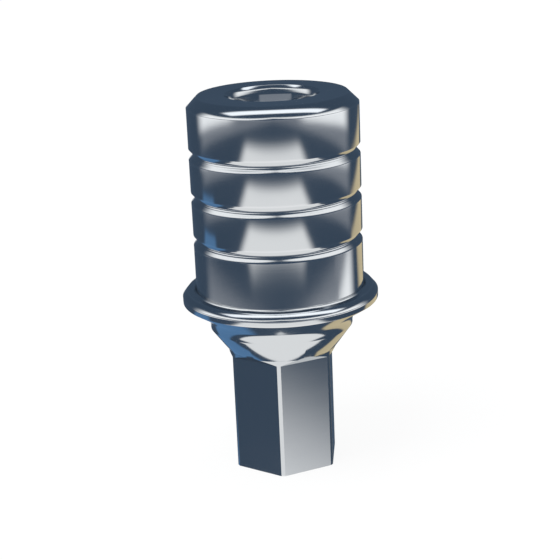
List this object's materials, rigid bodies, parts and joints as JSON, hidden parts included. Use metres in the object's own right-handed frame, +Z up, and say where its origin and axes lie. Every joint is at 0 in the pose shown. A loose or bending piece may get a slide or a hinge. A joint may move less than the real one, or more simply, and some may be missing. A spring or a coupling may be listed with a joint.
{
  "type": "dental abutment",
  "caption": "Straight dental implant abutment: a grooved cylindrical chimney on a bevelled shoulder, a coved underside, a seating cone and a hexagonal shank, with a screw channel right through.",
  "frame": {"origin": "centre of the flat end of the hexagon, on the axis of the piece", "axes": "+Z up along the axis, from the hexagon's end to the open top of the chimney; +X faces one flat of the hexagon"},
  "size_m": [0.0048, 0.0048, 0.0095],
  "materials": {
    "titanium": "polished"
  },
  "bodies": {
    "root": {"abutment": "titanium"}
  },
  "joints": []
}
